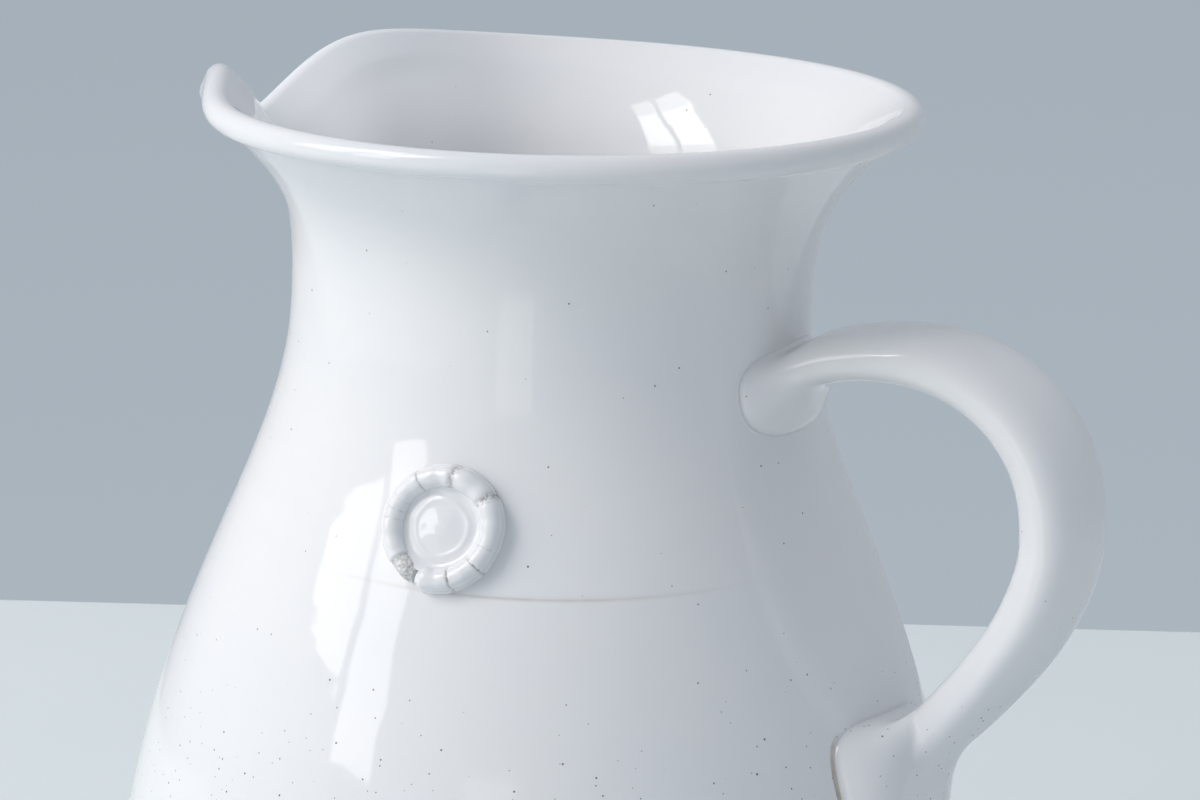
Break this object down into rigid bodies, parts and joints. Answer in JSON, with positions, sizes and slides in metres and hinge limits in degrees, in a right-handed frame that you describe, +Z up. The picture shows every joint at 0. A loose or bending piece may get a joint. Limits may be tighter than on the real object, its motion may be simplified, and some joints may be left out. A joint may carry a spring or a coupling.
{
  "type": "ceramic pitcher",
  "caption": "Hand-thrown white glazed pitcher with a rounded belly, flared rim, pulled pouring spout, strap handle and a small applied seal on its side.",
  "frame": {"origin": "centre of the ring under the foot that the pitcher stands on", "axes": "+Z up, +X towards the handle, -X towards the spout, the seal on the -Y side"},
  "size_m": [0.2394, 0.2094, 0.3033],
  "materials": {
    "belly_glaze": "gloss white glaze with small iron specks",
    "neck_glaze": "gloss white glaze",
    "handle_glaze": "gloss white glaze",
    "seal_glaze": "gloss white glaze, thin over the coil's cracks"
  },
  "bodies": {
    "root": {"belly": "belly_glaze", "neck": "neck_glaze", "handle": "handle_glaze", "seal_disc": "seal_glaze", "seal_ring": "seal_glaze"}
  },
  "joints": []
}
